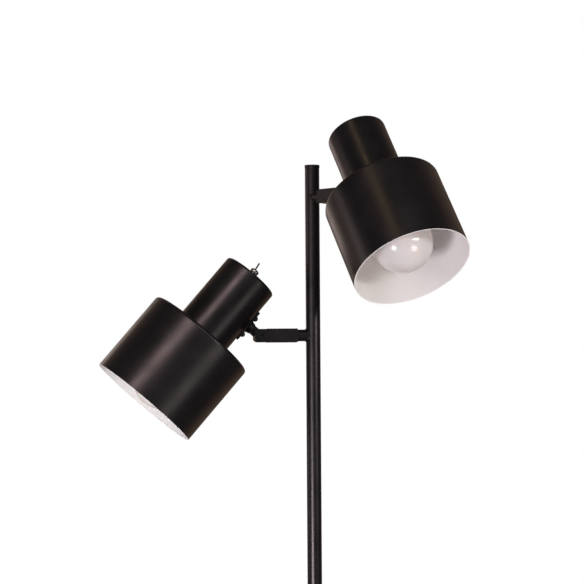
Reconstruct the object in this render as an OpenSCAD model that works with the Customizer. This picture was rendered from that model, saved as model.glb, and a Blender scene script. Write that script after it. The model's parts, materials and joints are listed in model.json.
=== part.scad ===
// Two-head floor lamp with swivelling, tilting spot heads.
// Millimetres. +Z is up, and the origin is the centre of the base's underside.

/* [Lamp] */
// Height from the floor to the top of the pole's plug
lamp_height = 1500; // [1200:10:1800]

/* [Base] */
// Diameter of the round base
base_d = 260; // [220:5:340]
// Height of the base cover above its pad
cover_h = 18; // [17:0.5:30]
// Radius of the cover's rounded edge
cover_edge_r = 6; // [3:0.5:9]
// Sheet thickness of the cover
cover_sheet = 1.2; // [0.8:0.1:2]
// Thickness of the pad that the lamp stands on
pad_t = 2; // [1:0.5:4]
// Step from the cover's edge in to the pad's edge
pad_inset = 0.5; // [0:0.1:0.8]
// Thickness of the steel weight under the cover
weight_t = 10; // [6:0.5:12]
// Gap between the weight and the inside of the cover's edge radius
weight_gap = 2; // [1:0.5:8]
// Diameter of the collar around the foot of the pole
collar_d = 32; // [24:1:50]
// Height of that collar
collar_h = 6; // [3:0.5:15]
// Radius of the collar's top edge
collar_edge_r = 2; // [0.5:0.5:3]

/* [Cord inlet] */
// Diameter of the way through the gland for the lead
inlet_bore = 6.4; // [5:0.1:7]
// Diameter of the gland where it passes the cover
gland_d = 8.4; // [8:0.1:9]
// Diameter of the gland's two lips
gland_lip_d = 10.5; // [10:0.1:11]
// Thickness of each lip
gland_lip_t = 1.8; // [1:0.1:3]

/* [Pole] */
// Outer diameter of the pole
pole_d = 16; // [14:0.5:18]
// Wall of the pole
pole_wall = 1.2; // [0.8:0.1:2]
// Length of each coupler that joins two pole sections
coupler_l = 40; // [24:2:80]
// Diameter of the way for wires through the couplers and arms
wire_bore = 6; // [4:0.5:7]
// Diameter of the plug that closes the pole
plug_d = 16.6; // [16:0.1:20]
// Height of the plug above the tube
plug_h = 3.5; // [2:0.5:6]
// Radius of the plug's top edge
plug_edge_r = 0.8; // [0.3:0.1:1.5]
// Depth of the plug inside the tube
plug_depth = 12; // [6:1:30]
// Depth of the threaded foot inside the tube
foot_depth = 30; // [15:1:60]

/* [Fixings] */
// Diameter of the threaded stud under the pole
stud_d = 10; // [9:0.5:10]
// Height of the nut under the base
base_nut_h = 5; // [4:0.5:5]
// Width of that nut across its flats
base_nut_af = 17; // [15:0.5:19]
// Diameter of the washer under the weight
washer_d = 30; // [22:1:50]
// Thickness of that washer
washer_t = 1.5; // [1:0.1:2]
// Free space between the nut and the pad
nut_gap = 0.8; // [0.3:0.1:2]

/* [Arms] */
// Distance from the lamp's top down to the left arm
left_drop = 188; // [160:1:240]
// Distance from the lamp's top down to the right arm
right_drop = 36; // [20:1:60]
// Direction of the left arm around the pole, in degrees from +X
left_azimuth = 190; // [170:1:200]
// Direction of the right arm around the pole, in degrees from +X
right_azimuth = -53.5; // [-70:0.5:-40]
// Turn of the left head about its arm, in degrees
left_turn = 2; // [-20:0.5:20]
// Turn of the right head about its arm, in degrees
right_turn = -4; // [-20:0.5:20]
// Lift of the left head above the arm, in degrees
left_tilt = 41; // [0:0.5:60]
// Lift of the right head above the arm, in degrees
right_tilt = 36; // [0:0.5:60]
// Distance from the pole's axis to the tilting pivot
pivot_reach = 60; // [56:1:90]
// Diameter of the fixed neck of an arm
neck_d = 13; // [12:0.5:13.5]
// Distance from the pole's axis to the neck's shoulder
neck_reach = 18; // [15:0.5:20]
// Diameter of the journal that the sleeve turns on
journal_d = 10; // [9:0.5:10]
// Diameter of the nut that keeps the sleeve on the journal
journal_nut_d = 12; // [11.5:0.1:12]
// Length of that nut
journal_nut_l = 3; // [2:0.5:4]
// Width of the square turning sleeve
sleeve_w = 15; // [14.6:0.1:18]
// Chamfer along the edges of the sleeve and the fork
edge_chamfer = 0.6; // [0.2:0.1:1]

/* [Knuckle] */
// Width of the square fork
fork_w = 14.4; // [14:0.1:14.6]
// Distance that the fork runs past the pivot
fork_nose = 6.2; // [5.5:0.1:7]
// Radius of the fork's nose corners
fork_nose_r = 4.5; // [2:0.5:5]
// Distance from the pivot back to the end of the sleeve
fork_back = 8; // [7.5:0.1:9]
// Length of the fork's spigot inside the sleeve
spigot_l = 4; // [3:0.5:4.5]
// Thickness of the tongue in the fork
tongue_t = 6; // [5:0.5:6]
// Width of the tongue
tongue_w = 10; // [8:0.5:10.5]
// Diameter of the pivot screw
pivot_d = 4; // [3:0.5:4]
// Diameter of the pivot screw's head
pivot_head_d = 7; // [6:0.5:7.5]
// Height of the pivot screw's head
pivot_head_h = 1.4; // [1:0.1:2]
// Depth of the flat seat of the screw's head below the fork's side
pivot_seat = 1.4; // [1:0.1:1.8]
// Diameter of the collar at the root of the tongue
root_d = 12.6; // [11:0.1:13]
// Length of that collar
root_l = 2.5; // [1.5:0.5:3]
// Diameter of the flange that bears on the plate
flange_d = 14; // [13:0.5:16]
// Thickness of that flange
flange_t = 2; // [1:0.5:3]
// Diameter of the tail that holds the tongue to the head
tail_d = 8; // [7:0.5:9]
// Diameter of the way for wires through the tongue
wire_way_d = 3.4; // [2.4:0.1:3.6]
// Metal left between the pivot and that way
wire_way_wall = 1.2; // [0.8:0.1:2]

/* [Head plate] */
// Distance from the pivot to the side of the cap
standoff = 17.5; // [16.5:0.5:24]
// Height of the tongue above the head's shoulder
plate_level = 40; // [34:1:50]
// Length of the plate along the cap
plate_l = 38; // [34:1:44]
// Width of the plate
plate_w = 10; // [9:0.5:14]
// Thickness of the plate
plate_t = 2; // [1:0.5:3]
// Radius of the plate's corners
plate_corner_r = 2; // [1:0.5:4]
// Distance between the plate's two screws
screw_gap = 22; // [21:0.5:24]
// Diameter of those screws
screw_d = 3; // [2.5:0.5:4]
// Diameter of their domed heads
screw_head_d = 6.4; // [5:0.1:7]
// Width of the driver slot in a screw's head
screw_slot_w = 0.8; // [0.6:0.1:1]
// Depth of that slot
screw_slot_depth = 1.2; // [0.8:0.1:1.6]

/* [Cap and shade] */
// Diameter of the cap
cap_d = 64; // [58:1:74]
// Length of the cap above the shoulder
cap_l = 84; // [80:1:100]
// Diameter of the shade
shade_d = 127; // [110:1:150]
// Length of the shade below the shoulder
shade_l = 98; // [94:1:130]
// Sheet thickness of the cap and the shade
head_sheet = 1; // [0.8:0.1:1.5]
// Radius of the cap's top edge
cap_edge_r = 3; // [2:0.5:6]
// Radius of the shade's shoulder
shade_edge_r = 3.5; // [2:0.5:8]

/* [Lampholder] */
// Diameter of the holder's skirt that passes the shade
skirt_d = 39.6; // [38:0.1:41]
// Length of the skirt below the shoulder
skirt_l = 17; // [14:0.5:20]
// Distance from the skirt's mouth in to the metal screw shell
shell_recess = 1.5; // [0.5:0.1:3]
// Diameter of the holder's flange inside the cap
holder_flange_d = 46; // [44:0.5:50]
// Thickness of that flange
holder_flange_t = 3; // [2:0.5:4]
// Diameter of the holder's body
holder_d = 36; // [34:0.5:40]
// Height of the holder's body above the shoulder
holder_h = 28; // [26:0.5:32]
// Diameter of the holder's threaded nipple
nipple_d = 10; // [9:0.5:12]
// Length of the nipple above the bracket
nipple_l = 5; // [3:0.5:10]
// Outer diameter of the ring that clamps the shade
ring_d = 54; // [50:1:60]
// Length of that ring
ring_l = 7; // [5:0.5:9]
// Number of grip notches around the ring
ring_notches = 24; // [12:1:36]
// Diameter of each grip notch
notch_d = 2.4; // [1.5:0.1:3]
// Diameter of the metal screw shell's bore
shell_bore = 26.6; // [26.5:0.1:28]
// Wall of that shell
shell_wall = 0.7; // [0.5:0.1:1]
// Thickness of the bracket
bracket_t = 2; // [1.5:0.1:3]
// Width of the bracket
bracket_w = 14; // [12:1:20]

/* [Bulb] */
// Diameter of the bulb
bulb_d = 65; // [55:1:66]
// Distance from the shoulder down to the bulb's centre
bulb_drop = 65.5; // [62:0.5:68]
// Wall of the bulb
bulb_wall = 1; // [0.7:0.1:1.5]
// Outer diameter of the bulb's screw base
bulb_base_d = 26.4; // [26:0.1:26.4]
// Length of the screw base, with its contact
bulb_base_l = 27; // [25:0.5:28]
// Depth of the bulb's neck inside the screw base
bulb_neck_depth = 6; // [4:0.5:10]
// Diameter of the centre contact
contact_d = 9; // [7:0.5:11]
// Height of the centre contact above its insulator
contact_h = 1; // [0.5:0.1:1.5]
// Sheet thickness of the screw base
bulb_base_sheet = 0.7; // [0.4:0.1:1]
// Distance from the skirt's mouth in to the screw base's rim
bulb_recess = 1; // [0:0.1:2]

/* [Switch] */
// Diameter of the switch's threaded bushing
bushing_d = 6; // [5:0.5:7]
// Height of the domed nut on the cap
switch_nut_h = 5; // [3:0.1:5.5]
// Diameter of that nut
switch_nut_d = 10.4; // [9:0.1:13]
// Radius of the nut's rounded top edge
switch_nut_edge_r = 1.7; // [0.5:0.1:1.7]
// Height of the lever's ball above the cap
ball_height = 2.5; // [1.2:0.1:2.8]
// Diameter of the ball that the lever turns on
lever_ball_d = 3.7; // [3:0.1:3.9]
// Diameter of the lever
lever_d = 1.9; // [1.5:0.1:2]
// Length of the lever from its ball to its tip
lever_l = 14.5; // [9:0.5:16]
// Lean of the lever to each side, in degrees
lever_lean = 8; // [6:0.5:12]
// Length of the lever's tail below the ball
lever_tail = 5; // [4:0.5:5]
// Width of the switch's body
switch_w = 8; // [7:0.5:12]
// Length of the switch's body
switch_l = 13; // [11:0.5:18]
// Depth of the switch's body below the cap's top
switch_depth = 14; // [11:0.5:18]

/* [Clearances] */
// Radial gap of a part that turns on another
running_gap = 0.05; // [0.02:0.01:0.1]
// Gap between faces that move past each other
side_gap = 0.3; // [0.2:0.1:0.4]
// Radial gap of a fixed part in its hole
fixed_gap = 0.1; // [0.05:0.05:0.2]

/* [Hidden] */
$fn = 72;
LEFT = 0;
RIGHT = 1;
drop = [left_drop, right_drop];
azimuth = [left_azimuth, right_azimuth];
turn = [left_turn, right_turn];
tilt = [left_tilt, right_tilt];

cut = 1; // how far a cutting shape runs past the face that it opens

// Heights in the stand
cover_top_z = pad_t + cover_h;
weight_top_z = cover_top_z - cover_sheet;
weight_bottom_z = weight_top_z - weight_t;
weight_d = base_d - 2 * (cover_edge_r + weight_gap);
nut_bottom_z = pad_t + nut_gap;
washer_top_z = max(nut_bottom_z + base_nut_h + washer_t, weight_bottom_z);
gland_z = pad_t + (cover_h - cover_edge_r) / 2;
sections = 3;
pole_top_z = lamp_height - plug_h;
section_l = (pole_top_z - cover_top_z) / sections;
pole_bore = pole_d - 2 * pole_wall;
insert_d = pole_bore - 2 * fixed_gap;

// Stations along an arm, from the pole's axis
sleeve_start = neck_reach + side_gap;
sleeve_end = pivot_reach - fork_back;
sleeve_step = sleeve_end - spigot_l - side_gap - journal_nut_l - side_gap;
journal_end = sleeve_step + side_gap + journal_nut_l;
spigot_d = journal_nut_d + 2 * side_gap;
slot_w = tongue_t + 2 * side_gap;
seat_y = fork_w / 2 - pivot_seat;

// Stations along the tongue, from the pivot
plate_x = standoff - plate_t;
flange_x = plate_x - flange_t;
root_x = flange_x - root_l;
tail_end_x = standoff + head_sheet + bracket_t;
wire_way_x = pivot_d / 2 + wire_way_wall + wire_way_d / 2;

// Stations inside the head, from its shoulder, where +Z points to the switch
cap_axis_x = standoff + cap_d / 2;
cap_inner_d = cap_d - 2 * head_sheet;
base_rim_z = bulb_recess - skirt_l;
contact_z = base_rim_z + bulb_base_l;
shell_d = shell_bore + 2 * shell_wall;
cavity_d = shell_d + 2 * fixed_gap;
shelf_z = holder_h;
lever_z = cap_l + ball_height;
lever_bore = lever_ball_d + 2 * running_gap;
tail_way_d = lever_d + 2 * (lever_tail * sin(lever_lean) + side_gap);

paint = [0.10, 0.09, 0.09];
inside_white = [0.93, 0.92, 0.90];
steel = [0.62, 0.62, 0.64];
nickel = [0.80, 0.78, 0.74];
brass = [0.78, 0.62, 0.32];
plastic = [0.14, 0.14, 0.14];
felt = [0.20, 0.20, 0.20];
frosted = [0.97, 0.96, 0.93];

// ---- helpers ----

// A tube or ring along Z, with its lower face at z = 0
module ring(outer_d, inner_d, length) {
    difference() {
        cylinder(d = outer_d, h = length);
        translate([0, 0, -cut]) cylinder(d = inner_d, h = length + 2 * cut);
    }
}

// The +X direction of a piece drawn along +Z
module along_x() {
    rotate([0, 90, 0]) children();
}

// The +Y direction of a piece drawn along +Z
module along_y() {
    rotate([-90, 0, 0]) children();
}

// Half of a can's outline, with its upper edge rounded
module can_outline(radius, height, edge_r) {
    square([radius - edge_r, height]);
    square([radius, height - edge_r]);
    translate([radius - edge_r, height - edge_r]) circle(r = edge_r);
}

// A can of sheet metal, open below, with its open edge at z = 0
module can(d, height, edge_r, sheet) {
    rotate_extrude() difference() {
        can_outline(d / 2, height, edge_r);
        translate([0, -cut]) can_outline(d / 2 - sheet, height + cut - sheet, edge_r - sheet);
        translate([-d, -cut]) square([d, height + 2 * cut]);
    }
}

// A plate outline with four round corners, centred
module rounded_rect(w, h, r) {
    square([w, h - 2 * r], center = true);
    square([w - 2 * r, h], center = true);
    for (x = [-1, 1], y = [-1, 1])
        translate([x * (w / 2 - r), y * (h / 2 - r)]) circle(r = r);
}

// ---- where the pieces of an arm and its head stand ----

// +X runs out along the arm from the pole's axis
module on_arm(side) {
    translate([0, 0, lamp_height - drop[side]]) rotate([0, 0, azimuth[side]]) children();
}

// The origin is the tilting pivot, and +Y is its axis
module on_knuckle(side) {
    on_arm(side) translate([pivot_reach, 0, 0]) rotate([turn[side], 0, 0]) children();
}

// +X runs out along the tongue from the pivot
module on_tongue(side) {
    on_knuckle(side) rotate([0, -tilt[side], 0]) children();
}

// The origin is the middle of the head's shoulder, and -Z is where the light goes
module on_head(side) {
    on_tongue(side) translate([cap_axis_x, 0, -plate_level]) children();
}

// The origin is the lever's ball, and +Z is the lever's length
module on_lever(side) {
    on_head(side) translate([0, 0, lever_z]) rotate([0, lever_lean, 0]) children();
}

// ---- stand ----

module floor_pad() {
    color(felt) cylinder(d = base_d - 2 * pad_inset, h = pad_t);
}

module base_weight() {
    color(steel) difference() {
        translate([0, 0, weight_bottom_z]) ring(weight_d, stud_d + 2 * fixed_gap, weight_t);
        translate([0, 0, weight_bottom_z - cut])
            cylinder(d = washer_d + 2 * fixed_gap, h = washer_top_z - weight_bottom_z + cut);
    }
}

module base_cover() {
    color(paint) difference() {
        translate([0, 0, pad_t]) can(base_d, cover_h, cover_edge_r, cover_sheet);
        translate([0, 0, weight_top_z - cut]) cylinder(d = stud_d + 2 * fixed_gap, h = cover_sheet + 2 * cut);
        translate([0, 0, gland_z]) along_y() cylinder(d = gland_d, h = base_d);
    }
}

module base_washer() {
    color(steel) translate([0, 0, washer_top_z - washer_t]) ring(washer_d, stud_d + 2 * fixed_gap, washer_t);
}

module base_nut() {
    color(steel) translate([0, 0, washer_top_z - washer_t - base_nut_h]) difference() {
        cylinder(d = base_nut_af / cos(30), h = base_nut_h, $fn = 6);
        translate([0, 0, -cut]) cylinder(d = stud_d, h = base_nut_h + 2 * cut);
    }
}

module base_collar() {
    color(paint) translate([0, 0, cover_top_z]) difference() {
        rotate_extrude() can_outline(collar_d / 2, collar_h, collar_edge_r);
        translate([0, 0, -cut]) cylinder(d = pole_d + 2 * fixed_gap, h = collar_h + 2 * cut);
    }
}

// The gland grips the cover's wall between its two lips
module cord_gland() {
    wall_y = base_d / 2;
    color(plastic) translate([0, 0, gland_z]) along_y() difference() {
        union() {
            translate([0, 0, wall_y - cover_sheet - gland_lip_t])
                cylinder(d = gland_d, h = cover_sheet + 2 * gland_lip_t);
            difference() {
                translate([0, 0, wall_y - cover_sheet - gland_lip_t]) cylinder(d = gland_lip_d, h = 2 * gland_lip_t);
                along_y() translate([0, 0, -base_d]) ring(2 * base_d, base_d - 2 * cover_sheet, 2 * base_d);
            }
            difference() {
                translate([0, 0, wall_y - gland_lip_t]) cylinder(d = gland_lip_d, h = 2 * gland_lip_t);
                along_y() translate([0, 0, -base_d]) cylinder(d = base_d, h = 2 * base_d);
            }
        }
        cylinder(d = inlet_bore, h = base_d);
    }
}

module pole_foot() {
    stud_bottom_z = washer_top_z - washer_t - base_nut_h;
    color(steel) difference() {
        union() {
            translate([0, 0, cover_top_z]) cylinder(d = insert_d, h = foot_depth);
            translate([0, 0, stud_bottom_z]) cylinder(d = stud_d, h = cover_top_z - stud_bottom_z);
        }
        translate([0, 0, stud_bottom_z - cut]) cylinder(d = wire_bore, h = cover_h + foot_depth + 2 * cut);
    }
}

module pole_section(index) {
    translate([0, 0, cover_top_z + index * section_l]) ring(pole_d, pole_bore, section_l);
}

module pole_lower() {
    color(paint) pole_section(0);
}

module pole_middle() {
    color(paint) pole_section(1);
}

module pole_upper() {
    color(paint) difference() {
        pole_section(2);
        for (side = [LEFT, RIGHT])
            on_arm(side) along_x() cylinder(d = wire_bore, h = pole_d);
    }
}

module coupler(index) {
    color(steel) translate([0, 0, cover_top_z + index * section_l - coupler_l / 2])
        ring(insert_d, wire_bore, coupler_l);
}

module top_plug() {
    color(paint) {
        translate([0, 0, pole_top_z]) rotate_extrude() intersection() {
            can_outline(plug_d / 2, plug_h, plug_edge_r);
            square([plug_d, plug_h]);
        }
        translate([0, 0, pole_top_z - plug_depth]) cylinder(d = insert_d, h = plug_depth);
    }
}

// ---- arm ----

// The fixed neck is saddled on the pole, and its journal carries the sleeve
module neck(side) {
    color(paint) on_arm(side) difference() {
        along_x() {
            cylinder(d = neck_d, h = neck_reach);
            cylinder(d = journal_d, h = journal_end);
        }
        translate([0, 0, -neck_d]) cylinder(d = pole_d, h = 2 * neck_d);
        along_x() cylinder(d = wire_bore, h = journal_end + cut);
    }
}

module journal_nut(side) {
    color(steel) on_arm(side) translate([journal_end - journal_nut_l, 0, 0]) along_x()
        ring(journal_nut_d, journal_d, journal_nut_l);
}

// A square bar along +X, with its long edges chamfered
module square_bar(w, length) {
    side_h = w / 2;
    flat_h = side_h - edge_chamfer;
    along_x() linear_extrude(length) polygon([
        [side_h, -flat_h], [side_h, flat_h], [flat_h, side_h], [-flat_h, side_h],
        [-side_h, flat_h], [-side_h, -flat_h], [-flat_h, -side_h], [flat_h, -side_h]
    ]);
}

module sleeve(side) {
    color(paint) on_knuckle(side) translate([-pivot_reach, 0, 0]) difference() {
        translate([sleeve_start, 0, 0]) square_bar(sleeve_w, sleeve_end - sleeve_start);
        along_x() cylinder(d = journal_d + 2 * running_gap, h = pivot_reach);
        translate([sleeve_step, 0, 0]) along_x() cylinder(d = spigot_d, h = pivot_reach);
    }
}

module fork(side) {
    back_x = -fork_back;
    slot_x = -(tongue_w / 2 + side_gap);
    color(paint) on_knuckle(side) difference() {
        union() {
            intersection() {
                translate([back_x, 0, 0]) square_bar(fork_w, fork_back + fork_nose);
                rotate([90, 0, 0]) translate([0, 0, -fork_w]) linear_extrude(2 * fork_w) {
                    translate([back_x, -fork_w]) square([fork_back + fork_nose - fork_nose_r, 2 * fork_w]);
                    translate([fork_nose - fork_nose_r, 0])
                        square([2 * fork_nose_r, fork_w - 2 * fork_nose_r], center = true);
                    for (z = [-1, 1])
                        translate([fork_nose - fork_nose_r, z * (fork_w / 2 - fork_nose_r)]) circle(r = fork_nose_r);
                }
            }
            translate([back_x - spigot_l, 0, 0]) along_x() cylinder(d = spigot_d, h = spigot_l);
        }
        translate([slot_x, -slot_w / 2, -fork_w]) cube([fork_w + fork_nose, slot_w, 2 * fork_w]);
        translate([back_x - spigot_l - cut, 0, 0]) along_x() cylinder(d = wire_bore, h = spigot_l + fork_back);
        along_y() translate([0, 0, -fork_w]) cylinder(d = pivot_d, h = 2 * fork_w);
        for (y = [-1, 1])
            rotate([y * -90, 0, 0]) translate([0, 0, seat_y]) cylinder(d = pivot_head_d + 2 * side_gap, h = fork_w);
    }
}

module pivot_screw(side) {
    color(steel) on_knuckle(side) along_y() {
        translate([0, 0, -seat_y - pivot_head_h]) cylinder(d = pivot_d, h = 2 * seat_y + pivot_head_h);
        translate([0, 0, seat_y]) difference() {
            cylinder(d = pivot_head_d, h = pivot_head_h);
            translate([0, 0, pivot_head_h]) cube([2 * pivot_head_d, screw_slot_w, pivot_head_h], center = true);
        }
    }
}

module pivot_nut(side) {
    color(steel) on_knuckle(side) along_y() translate([0, 0, -seat_y - pivot_head_h]) difference() {
        cylinder(d = pivot_head_d, h = pivot_head_h, $fn = 6);
        translate([0, 0, -cut]) cylinder(d = pivot_d, h = pivot_head_h + 2 * cut);
    }
}

// ---- head: what holds it ----

module tongue(side) {
    color(paint) on_tongue(side) difference() {
        union() {
            rotate([90, 0, 0]) translate([0, 0, -tongue_t / 2]) linear_extrude(tongue_t) {
                circle(d = tongue_w);
                translate([0, -tongue_w / 2]) square([root_x, tongue_w]);
            }
            along_x() {
                translate([0, 0, root_x]) cylinder(d = root_d, h = root_l);
                translate([0, 0, flange_x]) cylinder(d = flange_d, h = flange_t);
                translate([0, 0, plate_x]) cylinder(d = tail_d, h = tail_end_x - plate_x);
            }
        }
        along_y() translate([0, 0, -tongue_t]) cylinder(d = pivot_d + 2 * running_gap, h = 2 * tongue_t);
        translate([wire_way_x, 0, 0]) along_x() cylinder(d = wire_way_d, h = tail_end_x);
        translate([wire_way_x, 0, -tongue_w]) cylinder(d = wire_way_d, h = tongue_w);
    }
}

// The plate's inner face follows the round side of the cap
module plate(side) {
    color(paint) on_tongue(side) difference() {
        translate([plate_x, 0, 0]) along_x() linear_extrude(plate_t + head_sheet)
            rounded_rect(plate_l, plate_w, plate_corner_r);
        translate([cap_axis_x, 0, -plate_l]) cylinder(d = cap_d, h = 2 * plate_l, $fn = 360);
        along_x() cylinder(d = tail_d, h = standoff + plate_t);
        for (z = [-1, 1])
            translate([0, 0, z * screw_gap / 2]) along_x() cylinder(d = screw_d + 2 * fixed_gap, h = standoff + plate_t);
    }
}

module plate_screw(side, up) {
    color(paint) on_tongue(side) translate([plate_x, 0, up * screw_gap / 2]) difference() {
        union() {
            intersection() {
                sphere(d = screw_head_d);
                translate([-screw_head_d, -screw_head_d, -screw_head_d])
                    cube([screw_head_d, 2 * screw_head_d, 2 * screw_head_d]);
            }
            along_x() cylinder(d = screw_d, h = tail_end_x - plate_x);
        }
        translate([-screw_head_d / 2, 0, 0])
            cube([2 * screw_slot_depth, screw_slot_w, 2 * screw_head_d], center = true);
    }
}

// The bracket's strap lines the cap's wall, and its shelf carries the lampholder
module bracket(side) {
    strap_low = min(shelf_z, plate_level - plate_l / 2);
    strap_high = plate_level + plate_l / 2;
    color(steel) on_head(side) difference() {
        union() {
            intersection() {
                translate([0, 0, strap_low]) ring(cap_inner_d, cap_inner_d - 2 * bracket_t, strap_high - strap_low);
                translate([-cap_d, -bracket_w / 2, 0]) cube([cap_d, bracket_w, cap_l]);
            }
            translate([0, 0, shelf_z]) intersection() {
                cylinder(d = cap_inner_d - bracket_t, h = bracket_t);
                union() {
                    cylinder(d = nipple_d + bracket_w, h = bracket_t);
                    translate([-cap_d, -bracket_w / 2, 0]) cube([cap_d, bracket_w, bracket_t]);
                }
            }
        }
        translate([0, 0, shelf_z - cut]) cylinder(d = nipple_d, h = bracket_t + 2 * cut);
        translate([-cap_d, 0, plate_level]) along_x() cylinder(d = tail_d, h = cap_d);
        for (z = [-1, 1])
            translate([-cap_d, 0, plate_level + z * screw_gap / 2]) along_x() cylinder(d = screw_d, h = cap_d);
    }
}

// ---- head: shells ----

module cap(side) {
    color(paint) on_head(side) difference() {
        can(cap_d, cap_l, cap_edge_r, head_sheet);
        cylinder(d = bushing_d, h = cap_l + cut);
        translate([-cap_d, 0, plate_level]) along_x() cylinder(d = tail_d, h = cap_d);
        for (z = [-1, 1])
            translate([-cap_d, 0, plate_level + z * screw_gap / 2]) along_x()
                cylinder(d = screw_d + 2 * fixed_gap, h = cap_d);
    }
}

module shade(side) {
    color(paint) on_head(side) difference() {
        translate([0, 0, -shade_l]) can(shade_d, shade_l, shade_edge_r, head_sheet);
        translate([0, 0, -head_sheet - cut]) cylinder(d = skirt_d + 2 * fixed_gap, h = head_sheet + 2 * cut);
    }
}

module shade_ring(side) {
    color(plastic) on_head(side) translate([0, 0, -head_sheet - ring_l]) difference() {
        ring(ring_d, skirt_d + 2 * fixed_gap, ring_l);
        for (i = [0 : ring_notches - 1])
            rotate([0, 0, i * 360 / ring_notches]) translate([ring_d / 2, 0, -cut])
                cylinder(d = notch_d, h = ring_l + 2 * cut);
    }
}

// ---- head: lampholder and bulb ----

module holder(side) {
    color(plastic) on_head(side) difference() {
        union() {
            translate([0, 0, -skirt_l]) cylinder(d = skirt_d, h = skirt_l);
            cylinder(d = holder_flange_d, h = holder_flange_t);
            cylinder(d = holder_d, h = holder_h);
            cylinder(d = nipple_d, h = holder_h + bracket_t + nipple_l);
        }
        translate([0, 0, -skirt_l - cut]) cylinder(d = cavity_d, h = skirt_l + cut + contact_z + shell_wall);
        cylinder(d = wire_bore, h = holder_h + bracket_t + nipple_l + cut);
    }
}

module screw_shell(side) {
    shell_l = skirt_l - shell_recess + contact_z;
    color(brass) on_head(side) translate([0, 0, shell_recess - skirt_l]) difference() {
        cylinder(d = shell_d, h = shell_l + shell_wall);
        translate([0, 0, -cut]) cylinder(d = shell_bore, h = shell_l + cut);
    }
}

// The neck leaves the ball along a hollow curve that touches both
module bulb_outline(ball_r, neck_r, rise) {
    fillet_r = (rise * rise - ball_r * ball_r + neck_r * neck_r) / (2 * (ball_r - neck_r));
    touch = ball_r / (ball_r + fillet_r) * [neck_r + fillet_r, rise];
    circle(r = ball_r);
    difference() {
        polygon([[0, 0], touch, [touch.x, rise], [0, rise]]);
        translate([neck_r + fillet_r, rise]) circle(r = fillet_r);
    }
}

// An envelope of glass, open only at the end of its neck
module bulb(side) {
    ball_r = bulb_d / 2;
    neck_r = bulb_base_d / 2;
    tail_r = neck_r - bulb_base_sheet - 2 * fixed_gap;
    rise = bulb_drop + base_rim_z;
    tail_l = rise + bulb_neck_depth;
    color(frosted) on_head(side) translate([0, 0, -bulb_drop]) rotate_extrude() difference() {
        union() {
            bulb_outline(ball_r, neck_r, rise);
            square([tail_r, tail_l]);
        }
        bulb_outline(ball_r - bulb_wall, tail_r - bulb_wall, rise);
        square([tail_r - bulb_wall, tail_l + cut]);
        translate([-bulb_d, -bulb_d]) square([bulb_d, 3 * bulb_d]);
    }
}

module bulb_base(side) {
    cup_r = bulb_base_d / 2;
    cup_l = bulb_base_l - contact_d / 2;
    inner_r = cup_r - bulb_base_sheet;
    inner_l = cup_l - bulb_base_sheet;
    color(nickel) on_head(side) translate([0, 0, base_rim_z]) rotate_extrude() polygon([
        [inner_r, 0], [cup_r, 0], [cup_r, cup_l], [contact_d / 2, bulb_base_l - contact_h],
        [contact_d / 2, bulb_base_l], [0, bulb_base_l], [0, inner_l], [inner_r, inner_l]
    ]);
}

// ---- head: switch ----

module switch_body(side) {
    top_z = cap_l - head_sheet;
    color(plastic) on_head(side) translate([0, 0, top_z - switch_depth]) difference() {
        translate([-switch_l / 2, -switch_w / 2, 0]) cube([switch_l, switch_w, switch_depth]);
        translate([0, 0, switch_depth - lever_tail - cut]) cylinder(d = tail_way_d, h = lever_tail + 2 * cut);
    }
}

module switch_bushing(side) {
    color(nickel) on_head(side) translate([0, 0, cap_l - head_sheet])
        ring(bushing_d, lever_bore, head_sheet + switch_nut_h);
}

module switch_nut(side) {
    color(nickel) on_head(side) translate([0, 0, cap_l]) difference() {
        rotate_extrude() can_outline(switch_nut_d / 2, switch_nut_h, switch_nut_edge_r);
        translate([0, 0, -cut]) cylinder(d = bushing_d, h = switch_nut_h + 2 * cut);
    }
}

module lever(side) {
    color(nickel) on_lever(side) {
        sphere(d = lever_ball_d);
        cylinder(d = lever_d, h = lever_l - lever_d / 2);
        translate([0, 0, lever_l - lever_d / 2]) sphere(d = lever_d);
        translate([0, 0, -lever_tail]) cylinder(d = lever_d, h = lever_tail);
    }
}

floor_pad();
base_weight();
base_cover();
base_washer();
base_nut();
base_collar();
cord_gland();
pole_foot();
pole_lower();
pole_middle();
pole_upper();
coupler(1);  // coupler_low
coupler(2);  // coupler_high
top_plug();

neck(LEFT);  // left_neck
journal_nut(LEFT);  // left_journal_nut
sleeve(LEFT);  // left_sleeve
fork(LEFT);  // left_fork
pivot_screw(LEFT);  // left_pivot_screw
pivot_nut(LEFT);  // left_pivot_nut
tongue(LEFT);  // left_tongue
plate(LEFT);  // left_plate
plate_screw(LEFT, 1);  // left_screw_upper
plate_screw(LEFT, -1);  // left_screw_lower
bracket(LEFT);  // left_bracket
cap(LEFT);  // left_cap
shade(LEFT);  // left_shade
shade_ring(LEFT);  // left_shade_ring
holder(LEFT);  // left_holder
screw_shell(LEFT);  // left_screw_shell
bulb(LEFT);  // left_bulb
bulb_base(LEFT);  // left_bulb_base
switch_body(LEFT);  // left_switch_body
switch_bushing(LEFT);  // left_switch_bushing
switch_nut(LEFT);  // left_switch_nut
lever(LEFT);  // left_lever

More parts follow.
